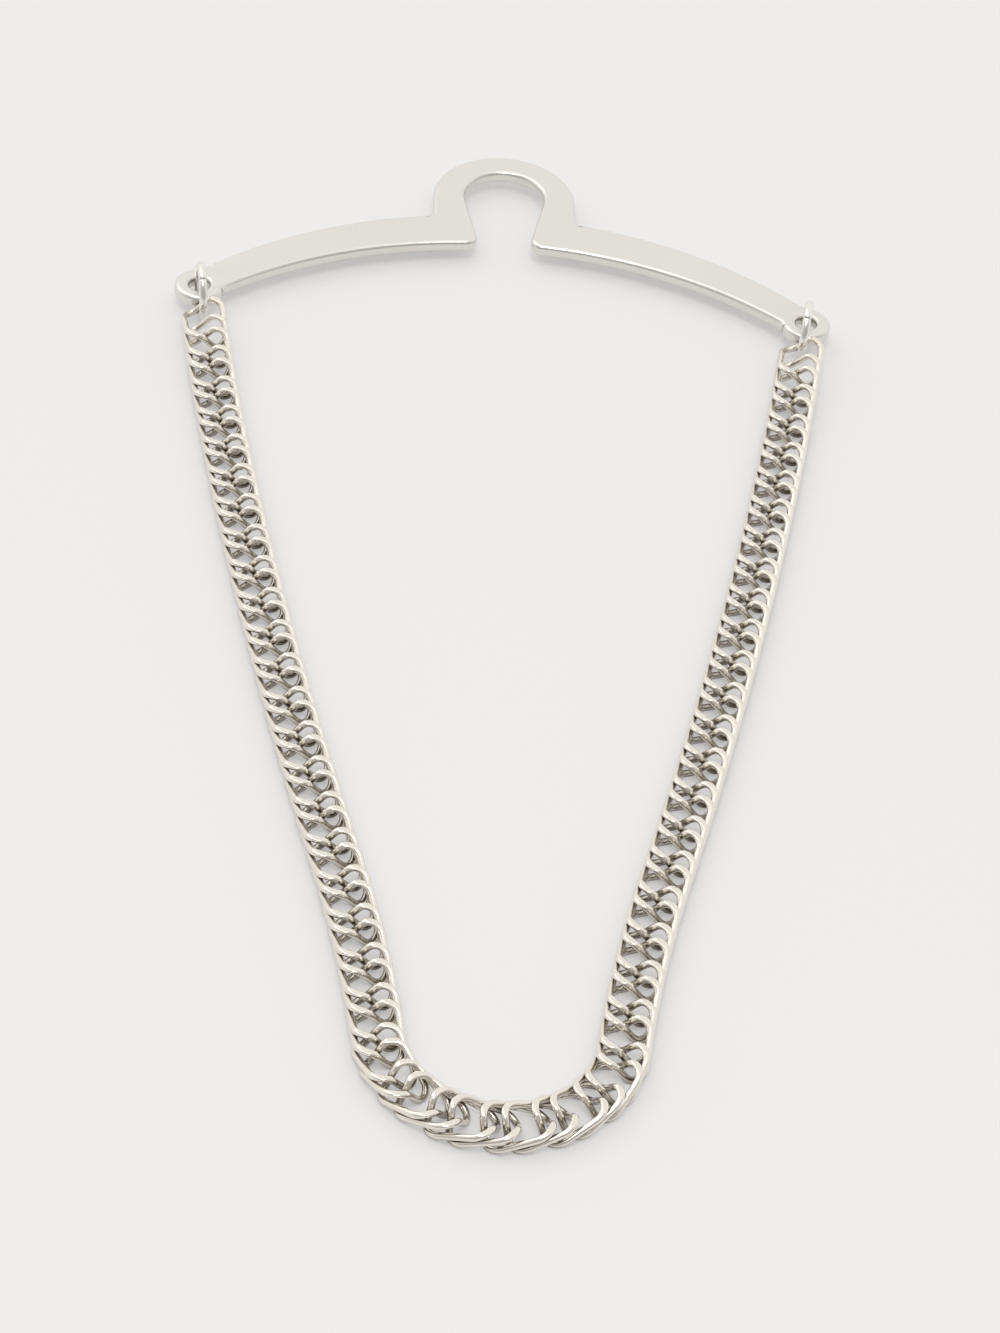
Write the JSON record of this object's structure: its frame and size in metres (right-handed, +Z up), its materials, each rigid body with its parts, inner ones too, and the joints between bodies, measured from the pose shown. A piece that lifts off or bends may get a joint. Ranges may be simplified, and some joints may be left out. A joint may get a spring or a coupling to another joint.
{
  "type": "tie chain",
  "caption": "Flat stamped bar with a keyhole loop that goes over a shirt button, and a flat double curb chain that hangs from an eye at each end of the bar and loops round a necktie.",
  "frame": {"origin": "on the surface that the piece lies on, under the middle of its outer box", "axes": "+Z up from the surface, +Y from the bottom of the chain towards the bar, +X along the bar"},
  "size_m": [0.0616, 0.1232, 0.0055],
  "materials": {
    "bar_metal": "satin polished plate",
    "ring_metal": "polished plate",
    "chain_metal": "polished plate, darker in its recesses"
  },
  "bodies": {
    "button_bar": {"button_bar": "bar_metal"},
    "jump_ring_left": {"jump_ring_left": "ring_metal"},
    "end_link_left": {"end_link_left": "chain_metal"},
    "double_link_left_01": {"double_link_left_01": "chain_metal"},
    "double_link_left_02": {"double_link_left_02": "chain_metal"},
    "double_link_left_03": {"double_link_left_03": "chain_metal"},
    "double_link_left_04": {"double_link_left_04": "chain_metal"},
    "double_link_left_05": {"double_link_left_05": "chain_metal"},
    "double_link_left_06": {"double_link_left_06": "chain_metal"},
    "double_link_left_07": {"double_link_left_07": "chain_metal"},
    "double_link_left_08": {"double_link_left_08": "chain_metal"},
    "double_link_left_09": {"double_link_left_09": "chain_metal"},
    "double_link_left_10": {"double_link_left_10": "chain_metal"},
    "double_link_left_11": {"double_link_left_11": "chain_metal"},
    "double_link_left_12": {"double_link_left_12": "chain_metal"},
    "double_link_left_13": {"double_link_left_13": "chain_metal"},
    "double_link_left_14": {"double_link_left_14": "chain_metal"},
    "double_link_left_15": {"double_link_left_15": "chain_metal"},
    "double_link_left_16": {"double_link_left_16": "chain_metal"},
    "double_link_left_17": {"double_link_left_17": "chain_metal"},
    "double_link_left_18": {"double_link_left_18": "chain_metal"},
    "double_link_left_19": {"double_link_left_19": "chain_metal"},
    "double_link_left_20": {"double_link_left_20": "chain_metal"},
    "double_link_left_21": {"double_link_left_21": "chain_metal"},
    "double_link_left_22": {"double_link_left_22": "chain_metal"},
    "double_link_left_23": {"double_link_left_23": "chain_metal"},
    "double_link_left_24": {"double_link_left_24": "chain_metal"},
    "jump_ring_right": {"jump_ring_right": "ring_metal"},
    "end_link_right": {"end_link_right": "chain_metal"},
    "double_link_right_01": {"double_link_right_01": "chain_metal"},
    "double_link_right_02": {"double_link_right_02": "chain_metal"},
    "double_link_right_03": {"double_link_right_03": "chain_metal"},
    "double_link_right_04": {"double_link_right_04": "chain_metal"},
    "double_link_right_05": {"double_link_right_05": "chain_metal"},
    "double_link_right_06": {"double_link_right_06": "chain_metal"},
    "double_link_right_07": {"double_link_right_07": "chain_metal"},
    "double_link_right_08": {"double_link_right_08": "chain_metal"},
    "double_link_right_09": {"double_link_right_09": "chain_metal"},
    "double_link_right_10": {"double_link_right_10": "chain_metal"},
    "double_link_right_11": {"double_link_right_11": "chain_metal"},
    "double_link_right_12": {"double_link_right_12": "chain_metal"},
    "double_link_right_13": {"double_link_right_13": "chain_metal"},
    "double_link_right_14": {"double_link_right_14": "chain_metal"},
    "double_link_right_15": {"double_link_right_15": "chain_metal"},
    "double_link_right_16": {"double_link_right_16": "chain_metal"},
    "double_link_right_17": {"double_link_right_17": "chain_metal"},
    "double_link_right_18": {"double_link_right_18": "chain_metal"},
    "double_link_right_19": {"double_link_right_19": "chain_metal"},
    "double_link_right_20": {"double_link_right_20": "chain_metal"},
    "double_link_right_21": {"double_link_right_21": "chain_metal"},
    "double_link_right_22": {"double_link_right_22": "chain_metal"},
    "double_link_right_23": {"double_link_right_23": "chain_metal"},
    "double_link_right_24": {"double_link_right_24": "chain_metal"}
  },
  "joints": [
    {"name": "jump_ring_left_swing", "type": "hinge", "parent": "button_bar", "child": "jump_ring_left", "pos_m": [-0.0285, 0.03631, 0.00275], "axis": [-1, 0, 0], "range_deg": [-4, 50]},
    {"name": "end_link_left_fold", "type": "hinge", "parent": "jump_ring_left", "child": "end_link_left", "pos_m": [-0.0285, 0.03451, 0.00124], "axis": [-1, 0, 0], "range_deg": [-6, 6]},
    {"name": "double_link_left_01_fold", "type": "hinge", "parent": "end_link_left", "child": "double_link_left_01", "pos_m": [-0.02746, 0.03161, 0.00163], "axis": [-1, 0, 0], "range_deg": [-8, 8]},
    {"name": "double_link_left_02_fold", "type": "hinge", "parent": "double_link_left_01", "child": "double_link_left_02", "pos_m": [-0.02677, 0.02757, 0.00125], "axis": [-1, 0, 0], "range_deg": [-8, 8]},
    {"name": "double_link_left_03_fold", "type": "hinge", "parent": "double_link_left_02", "child": "double_link_left_03", "pos_m": [-0.02606, 0.02353, 0.00101], "axis": [-1, 0, 0], "range_deg": [-9, 9]},
    {"name": "double_link_left_04_fold", "type": "hinge", "parent": "double_link_left_03", "child": "double_link_left_04", "pos_m": [-0.02532, 0.0195, 0.00095], "axis": [-1, 0, 0], "range_deg": [-9, 9]},
    {"name": "double_link_left_05_fold", "type": "hinge", "parent": "double_link_left_04", "child": "double_link_left_05", "pos_m": [-0.02455, 0.01547, 0.00095], "axis": [-1, 0, 0], "range_deg": [-9, 9]},
    {"name": "double_link_left_06_fold", "type": "hinge", "parent": "double_link_left_05", "child": "double_link_left_06", "pos_m": [-0.02376, 0.01145, 0.00095], "axis": [-1, 0, 0], "range_deg": [-9, 9]},
    {"name": "double_link_left_07_fold", "type": "hinge", "parent": "double_link_left_06", "child": "double_link_left_07", "pos_m": [-0.02294, 0.00743, 0.00095], "axis": [-1, 0, 0], "range_deg": [-9, 9]},
    {"name": "double_link_left_08_fold", "type": "hinge", "parent": "double_link_left_07", "child": "double_link_left_08", "pos_m": [-0.0221, 0.00341, 0.00095], "axis": [-1, 0, 0], "range_deg": [-9, 9]},
    {"name": "double_link_left_09_fold", "type": "hinge", "parent": "double_link_left_08", "child": "double_link_left_09", "pos_m": [-0.02123, -0.00059, 0.00095], "axis": [-1, 0, 0], "range_deg": [-9, 9]},
    {"name": "double_link_left_10_fold", "type": "hinge", "parent": "double_link_left_09", "child": "double_link_left_10", "pos_m": [-0.02034, -0.00459, 0.00095], "axis": [-1, 0, 0], "range_deg": [-9, 9]},
    {"name": "double_link_left_11_fold", "type": "hinge", "parent": "double_link_left_10", "child": "double_link_left_11", "pos_m": [-0.01942, -0.00859, 0.00095], "axis": [-1, 0, 0], "range_deg": [-9, 9]},
    {"name": "double_link_left_12_fold", "type": "hinge", "parent": "double_link_left_11", "child": "double_link_left_12", "pos_m": [-0.01848, -0.01258, 0.00095], "axis": [-1, 0, 0], "range_deg": [-9, 9]},
    {"name": "double_link_left_13_fold", "type": "hinge", "parent": "double_link_left_12", "child": "double_link_left_13", "pos_m": [-0.01751, -0.01656, 0.00095], "axis": [-1, 0, 0], "range_deg": [-9, 9]},
    {"name": "double_link_left_14_fold", "type": "hinge", "parent": "double_link_left_13", "child": "double_link_left_14", "pos_m": [-0.01651, -0.02054, 0.00095], "axis": [-1, 0, 0], "range_deg": [-9, 9]},
    {"name": "double_link_left_15_fold", "type": "hinge", "parent": "double_link_left_14", "child": "double_link_left_15", "pos_m": [-0.01549, -0.02451, 0.00095], "axis": [-1, 0, 0], "range_deg": [-9, 9]},
    {"name": "double_link_left_16_fold", "type": "hinge", "parent": "double_link_left_15", "child": "double_link_left_16", "pos_m": [-0.01444, -0.02848, 0.00095], "axis": [-1, 0, 0], "range_deg": [-9, 9]},
    {"name": "double_link_left_17_fold", "type": "hinge", "parent": "double_link_left_16", "child": "double_link_left_17", "pos_m": [-0.01337, -0.03243, 0.00095], "axis": [-1, 0, 0], "range_deg": [-9, 9]},
    {"name": "double_link_left_18_fold", "type": "hinge", "parent": "double_link_left_17", "child": "double_link_left_18", "pos_m": [-0.01231, -0.03639, 0.00095], "axis": [-1, 0, 0], "range_deg": [-9, 9]},
    {"name": "double_link_left_19_fold", "type": "hinge", "parent": "double_link_left_18", "child": "double_link_left_19", "pos_m": [-0.01135, -0.04038, 0.00095], "axis": [-1, 0, 0], "range_deg": [-9, 9]},
    {"name": "double_link_left_20_fold", "type": "hinge", "parent": "double_link_left_19", "child": "double_link_left_20", "pos_m": [-0.0105, -0.04439, 0.00095], "axis": [-1, 0, 0], "range_deg": [-9, 9]},
    {"name": "double_link_left_21_fold", "type": "hinge", "parent": "double_link_left_20", "child": "double_link_left_21", "pos_m": [-0.00976, -0.04842, 0.00095], "axis": [-1, 0, 0], "range_deg": [-8, 8]},
    {"name": "double_link_left_22_fold", "type": "hinge", "parent": "double_link_left_21", "child": "double_link_left_22", "pos_m": [-0.00908, -0.05246, 0.00095], "axis": [-1, 0, 0], "range_deg": [-3, 3]},
    {"name": "double_link_left_23_fold", "type": "hinge", "parent": "double_link_left_22", "child": "double_link_left_23", "pos_m": [-0.0072, -0.05607, 0.00095], "axis": [-1, 0, 0], "range_deg": [-3, 3]},
    {"name": "double_link_left_24_fold", "type": "hinge", "parent": "double_link_left_23", "child": "double_link_left_24", "pos_m": [-0.00397, -0.05855, 0.00095], "axis": [-1, 0, 0], "range_deg": [-2, 2]},
    {"name": "jump_ring_right_swing", "type": "hinge", "parent": "button_bar", "child": "jump_ring_right", "pos_m": [0.0285, 0.03631, 0.00275], "axis": [-1, 0, 0], "range_deg": [-4, 50]},
    {"name": "end_link_right_fold", "type": "hinge", "parent": "jump_ring_right", "child": "end_link_right", "pos_m": [0.0285, 0.03451, 0.00124], "axis": [-1, 0, 0], "range_deg": [-6, 6]},
    {"name": "double_link_right_01_fold", "type": "hinge", "parent": "end_link_right", "child": "double_link_right_01", "pos_m": [0.02746, 0.03161, 0.00163], "axis": [-1, 0, 0], "range_deg": [-8, 8]},
    {"name": "double_link_right_02_fold", "type": "hinge", "parent": "double_link_right_01", "child": "double_link_right_02", "pos_m": [0.02677, 0.02757, 0.00125], "axis": [-1, 0, 0], "range_deg": [-8, 8]},
    {"name": "double_link_right_03_fold", "type": "hinge", "parent": "double_link_right_02", "child": "double_link_right_03", "pos_m": [0.02606, 0.02353, 0.00101], "axis": [-1, 0, 0], "range_deg": [-9, 9]},
    {"name": "double_link_right_04_fold", "type": "hinge", "parent": "double_link_right_03", "child": "double_link_right_04", "pos_m": [0.02532, 0.0195, 0.00095], "axis": [-1, 0, 0], "range_deg": [-9, 9]},
    {"name": "double_link_right_05_fold", "type": "hinge", "parent": "double_link_right_04", "child": "double_link_right_05", "pos_m": [0.02455, 0.01547, 0.00095], "axis": [-1, 0, 0], "range_deg": [-9, 9]},
    {"name": "double_link_right_06_fold", "type": "hinge", "parent": "double_link_right_05", "child": "double_link_right_06", "pos_m": [0.02376, 0.01145, 0.00095], "axis": [-1, 0, 0], "range_deg": [-9, 9]},
    {"name": "double_link_right_07_fold", "type": "hinge", "parent": "double_link_right_06", "child": "double_link_right_07", "pos_m": [0.02294, 0.00743, 0.00095], "axis": [-1, 0, 0], "range_deg": [-9, 9]},
    {"name": "double_link_right_08_fold", "type": "hinge", "parent": "double_link_right_07", "child": "double_link_right_08", "pos_m": [0.0221, 0.00341, 0.00095], "axis": [-1, 0, 0], "range_deg": [-9, 9]},
    {"name": "double_link_right_09_fold", "type": "hinge", "parent": "double_link_right_08", "child": "double_link_right_09", "pos_m": [0.02123, -0.00059, 0.00095], "axis": [-1, 0, 0], "range_deg": [-9, 9]},
    {"name": "double_link_right_10_fold", "type": "hinge", "parent": "double_link_right_09", "child": "double_link_right_10", "pos_m": [0.02034, -0.00459, 0.00095], "axis": [-1, 0, 0], "range_deg": [-9, 9]},
    {"name": "double_link_right_11_fold", "type": "hinge", "parent": "double_link_right_10", "child": "double_link_right_11", "pos_m": [0.01942, -0.00859, 0.00095], "axis": [-1, 0, 0], "range_deg": [-9, 9]},
    {"name": "double_link_right_12_fold", "type": "hinge", "parent": "double_link_right_11", "child": "double_link_right_12", "pos_m": [0.01848, -0.01258, 0.00095], "axis": [-1, 0, 0], "range_deg": [-9, 9]},
    {"name": "double_link_right_13_fold", "type": "hinge", "parent": "double_link_right_12", "child": "double_link_right_13", "pos_m": [0.01751, -0.01656, 0.00095], "axis": [-1, 0, 0], "range_deg": [-9, 9]},
    {"name": "double_link_right_14_fold", "type": "hinge", "parent": "double_link_right_13", "child": "double_link_right_14", "pos_m": [0.01651, -0.02054, 0.00095], "axis": [-1, 0, 0], "range_deg": [-9, 9]},
    {"name": "double_link_right_15_fold", "type": "hinge", "parent": "double_link_right_14", "child": "double_link_right_15", "pos_m": [0.01549, -0.02451, 0.00095], "axis": [-1, 0, 0], "range_deg": [-9, 9]},
    {"name": "double_link_right_16_fold", "type": "hinge", "parent": "double_link_right_15", "child": "double_link_right_16", "pos_m": [0.01444, -0.02848, 0.00095], "axis": [-1, 0, 0], "range_deg": [-9, 9]},
    {"name": "double_link_right_17_fold", "type": "hinge", "parent": "double_link_right_16", "child": "double_link_right_17", "pos_m": [0.01337, -0.03243, 0.00095], "axis": [-1, 0, 0], "range_deg": [-9, 9]},
    {"name": "double_link_right_18_fold", "type": "hinge", "parent": "double_link_right_17", "child": "double_link_right_18", "pos_m": [0.01231, -0.03639, 0.00095], "axis": [-1, 0, 0], "range_deg": [-9, 9]},
    {"name": "double_link_right_19_fold", "type": "hinge", "parent": "double_link_right_18", "child": "double_link_right_19", "pos_m": [0.01135, -0.04038, 0.00095], "axis": [-1, 0, 0], "range_deg": [-9, 9]},
    {"name": "double_link_right_20_fold", "type": "hinge", "parent": "double_link_right_19", "child": "double_link_right_20", "pos_m": [0.0105, -0.04439, 0.00095], "axis": [-1, 0, 0], "range_deg": [-9, 9]},
    {"name": "double_link_right_21_fold", "type": "hinge", "parent": "double_link_right_20", "child": "double_link_right_21", "pos_m": [0.00976, -0.04842, 0.00095], "axis": [-1, 0, 0], "range_deg": [-8, 8]},
    {"name": "double_link_right_22_fold", "type": "hinge", "parent": "double_link_right_21", "child": "double_link_right_22", "pos_m": [0.00908, -0.05246, 0.00095], "axis": [-1, 0, 0], "range_deg": [-3, 3]},
    {"name": "double_link_right_23_fold", "type": "hinge", "parent": "double_link_right_22", "child": "double_link_right_23", "pos_m": [0.0072, -0.05607, 0.00095], "axis": [-1, 0, 0], "range_deg": [-3, 3]},
    {"name": "double_link_right_24_fold", "type": "hinge", "parent": "double_link_right_23", "child": "double_link_right_24", "pos_m": [0.00397, -0.05855, 0.00095], "axis": [-1, 0, 0], "range_deg": [-2, 2]}
  ],
  "couplings": [
    {"joint": "jump_ring_right_swing", "follows": "jump_ring_left_swing", "ratio": 1},
    {"joint": "end_link_right_fold", "follows": "end_link_left_fold", "ratio": 1},
    {"joint": "double_link_right_01_fold", "follows": "double_link_left_01_fold", "ratio": 1},
    {"joint": "double_link_right_02_fold", "follows": "double_link_left_02_fold", "ratio": 1},
    {"joint": "double_link_right_03_fold", "follows": "double_link_left_03_fold", "ratio": 1},
    {"joint": "double_link_right_04_fold", "follows": "double_link_left_04_fold", "ratio": 1},
    {"joint": "double_link_right_05_fold", "follows": "double_link_left_05_fold", "ratio": 1},
    {"joint": "double_link_right_06_fold", "follows": "double_link_left_06_fold", "ratio": 1},
    {"joint": "double_link_right_07_fold", "follows": "double_link_left_07_fold", "ratio": 1},
    {"joint": "double_link_right_08_fold", "follows": "double_link_left_08_fold", "ratio": 1},
    {"joint": "double_link_right_09_fold", "follows": "double_link_left_09_fold", "ratio": 1},
    {"joint": "double_link_right_10_fold", "follows": "double_link_left_10_fold", "ratio": 1},
    {"joint": "double_link_right_11_fold", "follows": "double_link_left_11_fold", "ratio": 1},
    {"joint": "double_link_right_12_fold", "follows": "double_link_left_12_fold", "ratio": 1},
    {"joint": "double_link_right_13_fold", "follows": "double_link_left_13_fold", "ratio": 1},
    {"joint": "double_link_right_14_fold", "follows": "double_link_left_14_fold", "ratio": 1},
    {"joint": "double_link_right_15_fold", "follows": "double_link_left_15_fold", "ratio": 1},
    {"joint": "double_link_right_16_fold", "follows": "double_link_left_16_fold", "ratio": 1},
    {"joint": "double_link_right_17_fold", "follows": "double_link_left_17_fold", "ratio": 1},
    {"joint": "double_link_right_18_fold", "follows": "double_link_left_18_fold", "ratio": 1},
    {"joint": "double_link_right_19_fold", "follows": "double_link_left_19_fold", "ratio": 1},
    {"joint": "double_link_right_20_fold", "follows": "double_link_left_20_fold", "ratio": 1},
    {"joint": "double_link_right_21_fold", "follows": "double_link_left_21_fold", "ratio": 1},
    {"joint": "double_link_right_22_fold", "follows": "double_link_left_22_fold", "ratio": 1},
    {"joint": "double_link_right_23_fold", "follows": "double_link_left_23_fold", "ratio": 1},
    {"joint": "double_link_right_24_fold", "follows": "double_link_left_24_fold", "ratio": 1}
  ]
}
